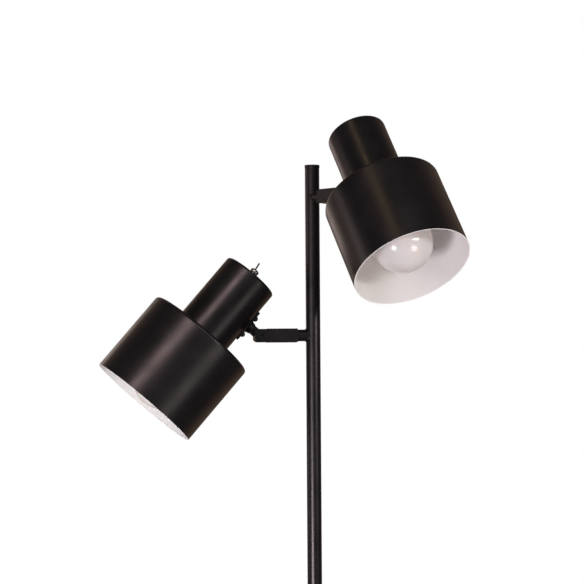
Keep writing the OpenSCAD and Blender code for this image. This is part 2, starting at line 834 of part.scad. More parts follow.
neck(RIGHT);  // right_neck
journal_nut(RIGHT);  // right_journal_nut
sleeve(RIGHT);  // right_sleeve
fork(RIGHT);  // right_fork
pivot_screw(RIGHT);  // right_pivot_screw
pivot_nut(RIGHT);  // right_pivot_nut
tongue(RIGHT);  // right_tongue
plate(RIGHT);  // right_plate
plate_screw(RIGHT, 1);  // right_screw_upper
plate_screw(RIGHT, -1);  // right_screw_lower
bracket(RIGHT);  // right_bracket
cap(RIGHT);  // right_cap
shade(RIGHT);  // right_shade
shade_ring(RIGHT);  // right_shade_ring
holder(RIGHT);  // right_holder
screw_shell(RIGHT);  // right_screw_shell
bulb(RIGHT);  // right_bulb
bulb_base(RIGHT);  // right_bulb_base
switch_body(RIGHT);  // right_switch_body
switch_bushing(RIGHT);  // right_switch_bushing
switch_nut(RIGHT);  // right_switch_nut
lever(RIGHT);  // right_lever
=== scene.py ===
# %% [markdown]
# # A two-head floor lamp
# A slim black pole carries two spot heads, each a narrow can on a wide can of painted sheet steel.
# The lamp's working model is loaded first, as a fixed frame: it says where every part stands and which
# part turns on which. Everything here is then built round it, in metres, with +Z up and the floor at
# z = 0, so that nothing has to be fitted by eye.

# %% The frame
import json
import math

import bmesh
import bpy
from mathutils import Matrix, Vector

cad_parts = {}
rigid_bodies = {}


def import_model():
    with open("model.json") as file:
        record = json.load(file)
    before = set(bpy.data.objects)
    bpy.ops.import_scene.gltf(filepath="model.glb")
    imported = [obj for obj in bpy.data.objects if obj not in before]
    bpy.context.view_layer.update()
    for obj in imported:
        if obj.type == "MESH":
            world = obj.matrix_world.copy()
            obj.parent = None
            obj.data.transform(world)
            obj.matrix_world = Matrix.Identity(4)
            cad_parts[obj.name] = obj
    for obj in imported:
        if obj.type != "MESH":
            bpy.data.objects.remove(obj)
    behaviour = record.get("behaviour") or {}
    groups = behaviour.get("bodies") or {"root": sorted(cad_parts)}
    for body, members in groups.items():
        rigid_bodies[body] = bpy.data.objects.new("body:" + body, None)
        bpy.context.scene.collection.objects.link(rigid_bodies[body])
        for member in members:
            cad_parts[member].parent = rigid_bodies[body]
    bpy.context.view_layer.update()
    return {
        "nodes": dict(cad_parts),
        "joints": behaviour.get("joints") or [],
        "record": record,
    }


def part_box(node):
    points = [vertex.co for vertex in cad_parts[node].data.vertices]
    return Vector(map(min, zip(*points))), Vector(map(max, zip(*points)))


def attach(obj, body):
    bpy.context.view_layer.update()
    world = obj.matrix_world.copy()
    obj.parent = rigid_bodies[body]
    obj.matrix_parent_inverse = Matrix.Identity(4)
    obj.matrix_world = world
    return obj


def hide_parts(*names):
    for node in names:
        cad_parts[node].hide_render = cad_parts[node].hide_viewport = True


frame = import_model()

# %% [markdown]
# ## Sizes
# A lamp like this is drawn from a few stock sizes: a 16 mm tube, a 64 mm can and a 127 mm can. They are
# written once, in millimetres turned into metres, and each piece takes its size from them.

# %% Sizes
MM = 0.001
SIDES = ("left", "right")

pole_r = 8 * MM
pole_bore_r = 6.8 * MM
plug_r = 8.3 * MM

cap_r = 32 * MM
cap_length = 84 * MM
shade_r = 63.5 * MM
shade_length = 98 * MM
sheet = 1 * MM
cap_reach = 49.5 * MM      # from the tilting pivot out to the cap's axis
ball_height = 2.5 * MM     # the lever's ball above the cap's top

bulb_r = 32.5 * MM
bulb_drop = 65.5 * MM
base_rim = 16 * MM         # from the shoulder down to the rim of the bulb's screw base

# %% [markdown]
# ## Where the arms and heads stand
# The two heads are the same part, turned and tilted differently. So each piece is drawn once in easy
# directions of its own, and a matrix sets it in its place. The matrices are read from the joints: the
# turning joint gives the arm's direction, the tilting joint the pivot, and the switch's joint a second
# point on the head. That second point is 49.5 mm out along the tongue, which fixes the head's angle.

# %% Places
def joint(name):
    return next(row for row in frame["joints"] if row["name"] == name)


def place_at(origin, x, y):
    """A matrix with that origin whose X and Y point along x and y."""
    place = Matrix((x, y, x.cross(y))).transposed().to_4x4()
    place.translation = origin
    return place


def arm_place(side):
    """+X runs out along the arm, from the pole's axis."""
    out = Vector(joint(side + "_turn")["axis"])
    height = joint(side + "_turn")["pos_m"][2]
    return place_at(Vector((0, 0, height)), out, Vector((0, 0, 1)).cross(out))


def knuckle_place(side):
    """The origin is the pivot, +X runs on along the arm and +Y along the pivot screw."""
    out = Vector(joint(side + "_turn")["axis"])
    return place_at(Vector(joint(side + "_tilt")["pos_m"]), out, -Vector(joint(side + "_tilt")["axis"]))


def tongue_and_head_place(side):
    """The tongue's +X runs from the pivot to the cap. The head's +Z runs from its shoulder to the switch."""
    pivot = Vector(joint(side + "_tilt")["pos_m"])
    across = -Vector(joint(side + "_tilt")["axis"])
    ball = Vector(joint(side + "_toggle")["pos_m"])
    towards = (ball - pivot).normalized()
    upright = towards.cross(across)
    lean = math.acos(cap_reach / (ball - pivot).length)
    out = towards * math.cos(lean) - upright * math.sin(lean)
    tongue = place_at(pivot, out, across)
    shoulder = ball - out.cross(across) * (cap_length + ball_height)
    return tongue, place_at(shoulder, out, across)


arm = {side: arm_place(side) for side in SIDES}
knuckle = {side: knuckle_place(side) for side in SIDES}
tongue = {side: tongue_and_head_place(side)[0] for side in SIDES}
head = {side: tongue_and_head_place(side)[1] for side in SIDES}
for side in SIDES:
    print(side, "shoulder at", [round(value, 4) for value in head[side].translation])

# %% [markdown]
# ## The camera
# The photograph was taken with a long lens from about 2.4 m away, level with the lower head. A long lens
# keeps the pole's sides parallel and the two heads in proportion. The camera looks up by about one degree.

# %% Camera
picture_width = 584
focal_length_in_pixels = 2180.762
sensor_width = 36.0
camera_spot = Vector((0, -2.40466, 1.30809))
look_right = -0.00956
look_down = -0.02156
roll = -0.00655


def look(right_by, down_by, roll_by):
    """The turn of a camera that starts out looking along +Y, with +Z up."""
    level = Matrix.Rotation(-right_by, 4, "Z") @ Matrix.Rotation(math.pi / 2 - down_by, 4, "X")
    return level @ Matrix.Rotation(roll_by, 4, "Z")


lens = bpy.data.cameras.new("camera")
lens.sensor_width = sensor_width
lens.lens = focal_length_in_pixels * sensor_width / picture_width
camera = bpy.data.objects.new("camera", lens)
camera.matrix_world = Matrix.Translation(camera_spot) @ look(look_right, look_down, roll)
bpy.context.scene.collection.objects.link(camera)
bpy.context.scene.camera = camera
print("lens:", round(lens.lens, 2), "mm")

# %% [markdown]
# ## Light and floor
# The studio has two lights low in front, which show as two bright spots on the bulb, and softer ones round
# them. Each long highlight on the cans is the mirror image of one of these lights, so a light's direction
# can be found from where its highlight lies. A light is set here by that direction, as degrees to the
# right of the camera and above the horizon, seen from the heads.
#
# The low and high lights in front were close to the lamp, so each of its parts saw them in another
# direction and strength. Rather than guess a distance, these lights are set separately for three groups of
# pieces: the right head, the pole and the rest. The pieces are put in their groups at the end.

# %% A studio light
light_centre = Vector((0, 0, 1.38))
lit_right_head = bpy.data.collections.new("lit right head")
lit_pole = bpy.data.collections.new("lit pole")
lit_rest = bpy.data.collections.new("lit rest")


def softbox(name, right_by, up_by, distance, width, height, power, colour, shape="RECTANGLE", lights=None):
    """A flat studio light, aimed at the heads, that lights everything or one collection."""
    a = math.radians(right_by)
    e = math.radians(up_by)
    towards = Vector((math.sin(a) * math.cos(e), -math.cos(a) * math.cos(e), math.sin(e)))
    data = bpy.data.lights.new(name, "AREA")
    data.shape = shape
    data.size = width
    data.size_y = height
    data.energy = power
    data.color = colour
    light = bpy.data.objects.new(name, data)
    light.location = light_centre + towards * distance
    light.rotation_mode = "QUATERNION"
    light.rotation_quaternion = towards.to_track_quat("Z", "Y")
    light.visible_camera = False
    light.light_linking.receiver_collection = lights
    bpy.context.scene.collection.objects.link(light)
    return light


# %% [markdown]
# The first five lights reach everything. Each call gives the direction, the distance, the width and height
# of the light's face, all in metres, then its power in watts and its colour.

# %% Lights for everything
softbox("main light", -19.5, 28, 2.2, 0.70, 0.50, 10.2, (1.0, 0.96, 0.98))
softbox("left side light", -95, 0, 1.8, 0.30, 0.8, 2.3, (1.0, 0.97, 0.94))
softbox("left rear light", -145, 5, 1.8, 0.5, 0.8, 2.0, (1.0, 0.85, 0.80))
softbox("warm top light", -40, 56, 1.9, 0.25, 0.25, 0.9, (1.0, 0.91, 0.48))
softbox("base light", 20, 35, 1.5, 0.6, 0.6, 3.4, (0.74, 0.98, 1.0))

# %% Lights for the right head
softbox("left low light", -29, -20.6, 1.95, 0.48, 0.48, 18.7, (1.0, 0.93, 0.99), "DISK", lit_right_head)
softbox("right low light", 46.1, -19.4, 2.34, 0.96, 0.66, 19, (1.0, 0.88, 0.84), lights=lit_right_head)
softbox("right high light", 48.7, 9.7, 2.06, 0.9, 0.2, 12.6, (0.99, 1.0, 0.98), lights=lit_right_head)

# %% Lights for the pole
softbox("left low light on the pole", -29, -20.6, 1.95, 0.48, 0.48, 32, (0.83, 0.91, 1.0), "DISK", lit_pole)
softbox("right high light on the pole", 50, 6, 1.9, 0.35, 0.10, 12, (0.88, 0.97, 1.0), lights=lit_pole)

# %% [markdown]
# The rest gets one light more. It stands for the light that the floor throws up into the left shade, and a
# floor shows no bright square in the paint, so this light is left out of mirror images.

# %% Lights for the rest
softbox("left low light on the rest", -40, -26, 1.9, 0.55, 0.55, 22.5, (0.87, 0.87, 1.0), "DISK", lit_rest)
softbox("right low light on the rest", 42, -22, 2.2, 0.72, 0.72, 3.9, (0.87, 1.0, 1.0), lights=lit_rest)
softbox("right high light on the rest", 50, 6, 1.9, 0.5, 0.10, 8.5, (0.83, 0.96, 1.0), lights=lit_rest)
bounce = softbox("bounce light", -30.2, -30.6, 1.6, 0.6, 0.6, 8.3, (1.0, 0.97, 0.77), lights=lit_rest)
bounce.visible_glossy = False
print("lights:", len(bpy.data.lights))

# %% [markdown]
# The backdrop of the photograph is plain white. The black paint mirrors it only near the outline of each
# can, where one looks along the surface. So the world is plain white where the camera looks straight at
# it. For mirrored light it is a dim, bluish room in front of the lamp, and a warmer glow behind it. The
# light that it scatters over everything is faint, even and warm.

# %% World
white = (1.0, 1.0, 1.0, 1.0)
dim_room = (0.040, 0.045, 0.057, 1.0)
bright_backdrop = (0.254, 0.179, 0.134, 1.0)
even_light = 0.05
even_tint = (1.0, 0.84, 0.80, 1.0)
glow_starts = 0.1      # how far a direction points away from the camera, from -1 to 1
glow_is_full = 0.8

world = bpy.data.worlds.new("studio")
bpy.context.scene.world = world
world.use_nodes = True
nodes = world.node_tree.nodes
links = world.node_tree.links
nodes.clear()


def background(colour, strength):
    node = nodes.new("ShaderNodeBackground")
    node.inputs["Color"].default_value = colour
    node.inputs["Strength"].default_value = strength
    return node


direction = nodes.new("ShaderNodeTexCoord")
split = nodes.new("ShaderNodeSeparateXYZ")
behind = nodes.new("ShaderNodeMapRange")
behind.interpolation_type = "SMOOTHSTEP"
behind.inputs["From Min"].default_value = glow_starts
behind.inputs["From Max"].default_value = glow_is_full
round_about = nodes.new("ShaderNodeMix")
round_about.data_type = "RGBA"
round_about.inputs["A"].default_value = dim_room
round_about.inputs["B"].default_value = bright_backdrop
mirrored = background(white, 1)
links.new(direction.outputs["Generated"], split.inputs["Vector"])
links.new(split.outputs["Y"], behind.inputs["Value"])
links.new(behind.outputs["Result"], round_about.inputs["Factor"])
links.new(round_about.outputs["Result"], mirrored.inputs["Color"])

path = nodes.new("ShaderNodeLightPath")
for_mirrors = nodes.new("ShaderNodeMixShader")
for_camera = nodes.new("ShaderNodeMixShader")
out = nodes.new("ShaderNodeOutputWorld")
links.new(path.outputs["Is Glossy Ray"], for_mirrors.inputs["Fac"])
links.new(background(even_tint, even_light).outputs["Background"], for_mirrors.inputs[1])
links.new(mirrored.outputs["Background"], for_mirrors.inputs[2])
links.new(path.outputs["Is Camera Ray"], for_camera.inputs["Fac"])
links.new(for_mirrors.outputs["Shader"], for_camera.inputs[1])
links.new(background(white, 1).outputs["Background"], for_camera.inputs[2])
links.new(for_camera.outputs["Shader"], out.inputs["Surface"])
bpy.context.scene.view_settings.view_transform = "Standard"
print("world nodes:", len(nodes))

# %% [markdown]
# ## Finishes
# A finish is more than a colour. Powder paint has a fine orange-peel ripple and a sheen that changes a
# little from place to place, polished nickel shows faint polishing marks, and foam has pores. These are
# procedural: they come from noise in the piece's own space, so nothing has to be unwrapped and the grain
# keeps its real size. `grain` is the size of the ripple in metres, and `depth` how deep it is. `spread` is
# how far the roughness wanders and `shift` how far the colour does, as a share of it.

# %% A finish
patches_per_metre = 45


def finish(name, colour, roughness, grain, depth, spread=0.04, shift=0.15, **sockets):
    """A surface with fine relief, patches of slightly different sheen and slightly different colour."""
    material = bpy.data.materials.new(name)
    material.use_nodes = True
    nodes = material.node_tree.nodes
    links = material.node_tree.links
    shader = nodes["Principled BSDF"]
    where = nodes.new("ShaderNodeTexCoord")

    ripple = nodes.new("ShaderNodeTexNoise")
    ripple.inputs["Scale"].default_value = 1 / grain
    ripple.inputs["Detail"].default_value = 3
    relief = nodes.new("ShaderNodeBump")
    relief.inputs["Strength"].default_value = 1.0
    relief.inputs["Distance"].default_value = depth
    links.new(where.outputs["Object"], ripple.inputs["Vector"])
    links.new(ripple.outputs["Fac"], relief.inputs["Height"])
    links.new(relief.outputs["Normal"], shader.inputs["Normal"])

    patches = nodes.new("ShaderNodeTexNoise")
    patches.inputs["Scale"].default_value = patches_per_metre
    patches.inputs["Detail"].default_value = 4
    sheen = nodes.new("ShaderNodeMapRange")
    sheen.inputs["From Min"].default_value = 0.3
    sheen.inputs["From Max"].default_value = 0.7
    sheen.inputs["To Min"].default_value = roughness - spread
    sheen.inputs["To Max"].default_value = roughness + spread
    links.new(where.outputs["Object"], patches.inputs["Vector"])
    links.new(patches.outputs["Fac"], sheen.inputs["Value"])
    links.new(sheen.outputs["Result"], shader.inputs["Roughness"])

    tint = nodes.new("ShaderNodeMix")
    tint.data_type = "RGBA"
    tint.inputs["A"].default_value = (*(value * (1 - shift) for value in colour), 1)
    tint.inputs["B"].default_value = (*(min(1, value * (1 + shift)) for value in colour), 1)
    links.new(patches.outputs["Fac"], tint.inputs["Factor"])
    links.new(tint.outputs["Result"], shader.inputs["Base Color"])

    for socket, value in sockets.items():
        shader.inputs[socket.replace("_", " ")].default_value = value
    return material


# %% [markdown]
# The lamp is mostly one black paint, which mirrors a little warmer than neutral. The bulb's glass lets some
# light in under its skin, which softens its shading.

# %% Finishes
black_paint = finish(
    "black powder paint", (0.0060, 0.0052, 0.0054), 0.34, 1.1 * MM, 0.003 * MM,
    Specular_Tint=(1.0, 0.76, 0.74, 1.0))
white_paint = finish("white enamel", (0.89, 0.86, 0.85), 0.38, 1.4 * MM, 0.0015 * MM, shift=0.01)
black_steel = finish("blackened steel", (0.030, 0.026, 0.024), 0.34, 0.5 * MM, 0.003 * MM, Metallic=0.7)
zinc = finish("zinc plate", (0.52, 0.53, 0.55), 0.36, 2.0 * MM, 0.006 * MM, spread=0.10, Metallic=1.0)
nickel = finish("polished nickel", (0.46, 0.40, 0.37), 0.34, 0.6 * MM, 0.001 * MM, Metallic=1.0)
# The lever's nickel is a darker copy of the nut's: painted shade, standing in for the dark room that the
# thin pin mirrors.
nickel_with_painted_shade = finish("nickel with painted shade", (0.060, 0.054, 0.052), 0.30, 0.6 * MM, 0.001 * MM, Metallic=1.0)
brass = finish("brass", (0.72, 0.53, 0.24), 0.28, 0.8 * MM, 0.002 * MM, spread=0.06, Metallic=1.0)
black_plastic = finish("black plastic", (0.016, 0.016, 0.017), 0.50, 0.4 * MM, 0.008 * MM)
white_plastic = finish("white plastic", (0.78, 0.765, 0.74), 0.42, 0.9 * MM, 0.004 * MM, shift=0.02)
foam = finish("foam rubber", (0.035, 0.035, 0.036), 0.92, 0.7 * MM, 0.12 * MM, shift=0.30)
frosted_glass = finish(
    "frosted glass", (0.66, 0.625, 0.62), 0.16, 2.5 * MM, 0.002 * MM, spread=0.02, shift=0.015,
    Subsurface_Weight=0.25, Subsurface_Scale=0.006)
floor_paint = finish("pale floor", (0.80, 0.79, 0.785), 0.75, 3.0 * MM, 0.02 * MM, shift=0.01)

slot_finish = {
    "black_paint": black_paint, "shade_paint": black_paint, "black_steel": black_steel, "raw_steel": zinc,
    "nickel": nickel, "brass": brass, "black_plastic": black_plastic, "white_plastic": white_plastic,
    "pad": foam, "frosted_glass": frosted_glass,
}
print("finishes:", len(slot_finish))

# %% [markdown]
# The parts inside the tube, the cans and the base are seldom seen. Their shapes in the frame are right,
# so they stay as they are and only take a finish.

# %% Hidden parts
for row in frame["record"]["subparts"]:
    part = frame["nodes"][row["node"]]
    part.data.materials.clear()
    part.data.materials.append(slot_finish[row["material_slot"]])

# %% [markdown]
# ## Turned shapes
# Nearly every part of the lamp is round: it was spun, drawn or turned on a lathe. In Blender a round part
# can come from a cylinder with bevels, from a screw modifier, or from rings of points written in code.
# Rings are used here, because the outline then says exactly where each edge is and how round it is: a
# corner is a radius, a height and, if it isn't sharp, the radius of its rounding, like the notes on a
# turner's drawing.

# %% Outlines
ARC_STEPS = 6


def rounded(corners, steps=ARC_STEPS):
    """The outline's points, and for each whether the edge is sharp there."""
    points = []
    for before, corner, after in zip(corners[-1:] + corners[:-1], corners, corners[1:] + corners[:1]):
        tip = Vector(corner[:2])
        radius = corner[2] if len(corner) > 2 else 0
        if radius == 0:
            points.append((tip, True))
            continue
        back = (Vector(before[:2]) - tip).normalized()
        ahead = (Vector(after[:2]) - tip).normalized()
        half = back.angle(ahead) / 2
        centre = tip + (back + ahead).normalized() * radius / math.sin(half)
        start = tip + back * radius / math.tan(half) - centre
        end = tip + ahead * radius / math.tan(half) - centre
        for i in range(steps + 1):
            points.append((centre + start.lerp(end, i / steps).normalized() * radius, False))
    return points


def split_long(points, longest):
    """The same outline with its straight stretches cut into steps."""
    cut = []
    for (here, sharp), (there, _) in zip(points, points[1:] + points[:1]):
        pieces = max(1, math.ceil((there - here).length / longest))
        cut.append((here, sharp))
        cut += [(here.lerp(there, i / pieces), False) for i in range(1, pieces)]
    return cut


# %% [markdown]
# `lathe` spins a closed outline about its Z axis. A `warp` may then move each ring's points, which turns a
# plain ring into a thread or a notched grip. Long flat faces next to small roundings shade badly when
# their normals are averaged evenly, so a weighted-normal modifier lets the large faces decide.

# %% Lathe
def new_piece(name, mesh):
    piece = bpy.data.objects.new(name, mesh)
    bpy.context.scene.collection.objects.link(piece)
    return piece


def even_shading(piece):
    """Smooth faces whose shading follows the large faces."""
    for face in piece.data.polygons:
        face.use_smooth = True
    step = piece.modifiers.new("even shading", "WEIGHTED_NORMAL")
    step.keep_sharp = True
    return piece


def lathe(name, corners, turns=96, warp=None, longest=None, steps=ARC_STEPS):
    """A turned solid. Each corner of its closed outline is (radius, height, rounding)."""
    points = rounded(corners, steps)
    if longest:
        points = split_long(points, longest)
    shape = bmesh.new()
    rings = []
    for point, _ in points:
        if point.x < 1e-7:
            rings.append([shape.verts.new((0, 0, point.y))] * turns)
            continue
        ring = []
        for i in range(turns):
            angle = 2 * math.pi * i / turns
            radius, height = warp(angle, point.x, point.y) if warp else (point.x, point.y)
            ring.append(shape.verts.new((radius * math.cos(angle), radius * math.sin(angle), height)))
        rings.append(ring)
    for here, there in zip(rings, rings[1:] + rings[:1]):
        if here[0] == here[1] and there[0] == there[1]:
            continue
        for i in range(turns):
            j = (i + 1) % turns
            face = dict.fromkeys((here[i], here[j], there[j], there[i]))
            shape.faces.new(list(face))
    for ring, (_, sharp) in zip(rings, points):
        if sharp and ring[0] != ring[1]:
            for i in range(turns):
                edge = shape.edges.get((ring[i], ring[(i + 1) % turns]))
                if edge:
                    edge.smooth = False
    bmesh.ops.recalc_face_normals(shape, faces=shape.faces)
    mesh = bpy.data.meshes.new(name)
    shape.to_mesh(mesh)
    shape.free()
    return even_shading(new_piece(name, mesh))


def set_in(piece, place, body, slot, *nodes):
    """Puts a piece in its place, on its body, with its slot's finish, in place of those nodes."""
    piece.data.transform(place)
    if not piece.data.materials:
        piece.data.materials.append(slot_finish[slot])
    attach(piece, body)
    if nodes:
        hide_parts(*nodes)
    return piece


# %% [markdown]
# Things that run along X or Y are drawn standing up, like everything on the lathe, and then laid down.

# %% Laying down
along_x = Matrix.Rotation(math.pi / 2, 4, "Y")
along_y = Matrix.Rotation(-math.pi / 2, 4, "X")
upright = Matrix.Identity(4)

# %% [markdown]
# ## The base
# The base is a thick steel weight under a pressed cover, with a foam pad so that it doesn't mark the
# floor. The cover's rim is rounded where the sheet was drawn over the tool, and a turned collar hides the
# hole that the pole stands in.

# %% Base
base_r = 130 * MM
cover_hole_r = 8.2 * MM
cover_rim = 6 * MM
collar_r = 16 * MM
collar_bore_r = pole_r + 0.1 * MM
pad_r = base_r - 0.5 * MM
pad_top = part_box("base_cover")[0].z
cover_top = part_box("base_cover")[1].z
cover_sheet = 1.2 * MM
collar_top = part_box("base_collar")[1].z

cover = lathe("base_cover_pressing", [
    (cover_hole_r, cover_top), (base_r, cover_top, cover_rim), (base_r, pad_top, 0.4 * MM),
    (base_r - cover_sheet, pad_top, 0.4 * MM),
    (base_r - cover_sheet, cover_top - cover_sheet, cover_rim - cover_sheet),
    (cover_hole_r, cover_top - cover_sheet)], turns=192, steps=10)
set_in(cover, upright, "stand", "black_paint", "base_cover")

pad = lathe("base_foam_pad", [
    (0, 0), (pad_r, 0, 0.5 * MM), (pad_r, pad_top, 0.3 * MM), (0, pad_top)], turns=192)
set_in(pad, upright, "stand", "pad", "floor_pad")

collar = lathe("pole_collar", [
    (collar_bore_r, cover_top), (collar_r, cover_top, 0.2 * MM), (collar_r, collar_top, 2 * MM),
    (collar_bore_r, collar_top, 0.4 * MM)])
set_in(collar, upright, "stand", "black_paint", "base_collar")
print("base:", round(2 * base_r, 3), "m across,", round(cover_top, 3), "m high")

# %% [markdown]
# The gland at the back is a soft bush with a lip on each side of the cover's wall. The lead goes in there.

# %% Gland
gland_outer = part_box("cord_gland")[1].y
gland_height = (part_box("cord_gland")[0].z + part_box("cord_gland")[1].z) / 2
wall_outer = base_r - 0.1 * MM
wall_inner = wall_outer - cover_sheet - 0.1 * MM
lip_inner = wall_inner - 1.5 * MM
bush_r = 3.2 * MM
neck_r = 4.2 * MM
lip_r = 5.25 * MM

gland = lathe("lead_gland", [
    (bush_r, gland_outer, 0.5 * MM), (lip_r, gland_outer, 0.9 * MM), (lip_r, wall_outer),
    (neck_r, wall_outer), (neck_r, wall_inner), (lip_r, wall_inner), (lip_r, lip_inner, 0.4 * MM),
    (bush_r, lip_inner, 0.3 * MM)], turns=48)
set_in(gland, Matrix.Translation((0, 0, gland_height)) @ along_y, "stand", "black_plastic", "cord_gland")

# %% [markdown]
# ## The pole
# Three tubes screw together on hidden couplers. Each tube's ends are broken by a quarter of a millimetre,
# which is what makes the joints show as fine lines. The plug on top is a little wider than the tube.

# %% Pole
broken_edge = 0.25 * MM

for name in ("pole_lower", "pole_middle", "pole_upper"):
    low, high = (corner.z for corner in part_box(name))
    tube = lathe(name + "_tube", [
        (pole_bore_r, low), (pole_r, low, broken_edge), (pole_r, high, broken_edge), (pole_bore_r, high)],
        turns=64, steps=3)
    set_in(tube, upright, "stand", "black_paint", name)

plug_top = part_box("top_plug")[1].z
tube_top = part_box("pole_upper")[1].z
spigot_r = pole_bore_r - 0.1 * MM
spigot_end = tube_top - 12 * MM
plug = lathe("pole_plug", [
    (0, spigot_end), (spigot_r, spigot_end, 0.5 * MM), (spigot_r, tube_top),
    (plug_r, tube_top, broken_edge), (plug_r, plug_top, 0.8 * MM), (0, plug_top)], turns=64)
set_in(plug, upright, "stand", "black_paint", "top_plug")
print("pole top at", round(plug_top, 4), "m")

# %% [markdown]
# ## The fixed necks
# Each arm starts as a short steel neck welded to the pole. Its end is cut to the pole's round side, which
# is called a saddle. Here the neck is turned with a square end, and then every point of that end is moved
# along the arm until it lies just inside the tube.

# %% Necks
arm_neck_r = 6.5 * MM
arm_neck_end = 18 * MM
journal_r = 5 * MM
journal_end = 47.4 * MM
wire_bore_r = 3 * MM
into_tube = 0.3 * MM


def saddle(piece):
    """Moves the low end of an upright turned piece onto the pole's round side."""
    for point in piece.data.vertices:
        if point.co.z < pole_r:
            point.co.z = math.sqrt(pole_r ** 2 - point.co.y ** 2) - into_tube


for side in SIDES:
    neck = lathe(side + "_neck_stub", [
        (wire_bore_r, 0), (arm_neck_r, 0), (arm_neck_r, arm_neck_end, 0.5 * MM), (journal_r, arm_neck_end),
        (journal_r, journal_end, 0.3 * MM), (wire_bore_r, journal_end)], turns=64)
    saddle(neck)
    set_in(neck, arm[side] @ along_x, "stand", "black_paint", side + "_neck")

# %% [markdown]
# The weld is a small bead round the foot of the neck, smoothed by the paint. It follows the curve where the
# two tubes meet, so it is swept along that curve: a ring of points on the neck, each moved out to the
# pole's side.

# %% Weld beads
bead_r = 0.9 * MM
bead_steps = 96
bead_sides = 12


def weld_bead(name):
    """A bead along the curve where the neck meets the pole, drawn with the arm upright."""
    line = []
    for i in range(bead_steps):
        angle = 2 * math.pi * i / bead_steps
        across = arm_neck_r * math.sin(angle)
        line.append(Vector((arm_neck_r * math.cos(angle), across, math.sqrt(pole_r ** 2 - across ** 2))))
    shape = bmesh.new()
    rings = []
    for i, point in enumerate(line):
        ahead = (line[(i + 1) % bead_steps] - line[i - 1]).normalized()
        side_way = ahead.cross(Vector((0, 0, 1))).normalized()
        up_way = side_way.cross(ahead)
        rings.append([shape.verts.new(
            point + bead_r * (side_way * math.cos(turn) + up_way * math.sin(turn)))
            for turn in (2 * math.pi * k / bead_sides for k in range(bead_sides))])
    for here, there in zip(rings, rings[1:] + rings[:1]):
        for k in range(bead_sides):
            n = (k + 1) % bead_sides
            shape.faces.new((here[k], here[n], there[n], there[k]))
    bmesh.ops.recalc_face_normals(shape, faces=shape.faces)
    mesh = bpy.data.meshes.new(name)
    shape.to_mesh(mesh)
    shape.free()
    return even_shading(new_piece(name, mesh))


for side in SIDES:
    set_in(weld_bead(side + "_weld"), arm[side] @ along_x, "stand", "black_paint")
print("welds:", len(SIDES))

# %% [markdown]
# ## Milled parts
# The square sleeve that turns on the neck's journal is milled, not turned. So are the fork that it carries,
# the tongue, the plate behind the cap and the pivot's nut. The frame has their exact shapes, but its edges
# are perfectly sharp, and a perfectly sharp edge never catches the light. A copy of the shape is welded
# into one skin, its flat faces are joined up again, and a bevel breaks its edges as a file would.

# %% Milled parts
def milled(name, node, broken):
    """The node's shape with its edges broken by that much."""
    mesh = frame["nodes"][node].data.copy()
    mesh.name = name
    mesh.materials.clear()
    shape = bmesh.new()
    shape.from_mesh(mesh)
    bmesh.ops.remove_doubles(shape, verts=shape.verts, dist=0.002 * MM)
    bmesh.ops.dissolve_limit(
        shape, angle_limit=math.radians(0.5), verts=shape.verts, edges=shape.edges, delimit={"SHARP"})
    bmesh.ops.recalc_face_normals(shape, faces=shape.faces)
    for edge in shape.edges:
        edge.smooth = True
    shape.to_mesh(mesh)
    shape.free()
    if "custom_normal" in mesh.attributes:
        mesh.attributes.remove(mesh.attributes["custom_normal"])
    piece = new_piece(name, mesh)
    step = piece.modifiers.new("broken edges", "BEVEL")
    step.width = broken
    step.segments = 3
    step.limit_method = "ANGLE"
    step.angle_limit = math.radians(32)
    step.use_clamp_overlap = True
    return even_shading(piece)


milled_parts = {
    "sleeve": ("arm", "black_paint", 0.30 * MM),
    "fork": ("arm", "black_paint", 0.35 * MM),
    "pivot_nut": ("arm", "black_steel", 0.15 * MM),
    "tongue": ("head", "black_paint", 0.25 * MM),
    "plate": ("head", "black_paint", 0.25 * MM),
}
for side in SIDES:
    for part, (body, slot, broken) in milled_parts.items():
        piece = milled(f"{side}_{part}_milled", f"{side}_{part}", broken)
        set_in(piece, upright, f"{side}_{body}", slot, f"{side}_{part}")

# %% [markdown]
# ## Screws
# A slotted screw starts on the lathe, and its slot is sawn afterwards. The saw is a thin block, taken away
# with a boolean modifier that is applied at once, so that the block needn't be kept.

# %% Sawing a slot
slot_width = 0.8 * MM


def settle(piece):
    """Makes the piece's modifiers part of its mesh."""
    shape = piece.evaluated_get(bpy.context.evaluated_depsgraph_get())
    mesh = bpy.data.meshes.new_from_object(shape)
    piece.modifiers.clear()
    piece.data = mesh


def saw_slot(piece, depth, top, length):
    """Saws a slot along X, that deep below the top of an upright piece."""
    blade = bmesh.new()
    bmesh.ops.create_cube(blade, size=1, matrix=Matrix.Diagonal((length, slot_width, 2 * depth, 1)))
    mesh = bpy.data.meshes.new("blade")
    blade.to_mesh(mesh)
    blade.free()
    saw = new_piece("blade", mesh)
    saw.location.z = top
    piece.modifiers.clear()
    step = piece.modifiers.new("slot", "BOOLEAN")
    step.object = saw
    step.solver = "EXACT"
    settle(piece)
    bpy.data.objects.remove(saw)
    piece.data.set_sharp_from_angle(angle=math.radians(40))
    return even_shading(piece)


# %% [markdown]
# The two screws of each plate have domed heads, and the pivot's screw a flat one with a rounded edge, let
# into the side of the fork.

# %% Plate screws
dome_r = 3.2 * MM
screw_r = 1.5 * MM
screw_length = 7 * MM
plate_face = 15.5 * MM
screw_spacing = 11 * MM
dome_steps = 12


def domed_screw(name):
    """A screw standing on its shank, with the middle of its dome's foot at the origin."""
    dome = [(dome_r * math.cos(a), dome_r * math.sin(a)) for a in (
        math.pi / 2 * i / dome_steps for i in range(dome_steps))]
    piece = lathe(name, [(0, -screw_length), (screw_r, -screw_length, 0.3 * MM), (screw_r, 0)] + [
        (radius, height, 0.02 * MM) for radius, height in dome] + [(0, dome_r)], turns=48, steps=1)
    return saw_slot(piece, 1.2 * MM, dome_r, 4 * dome_r)


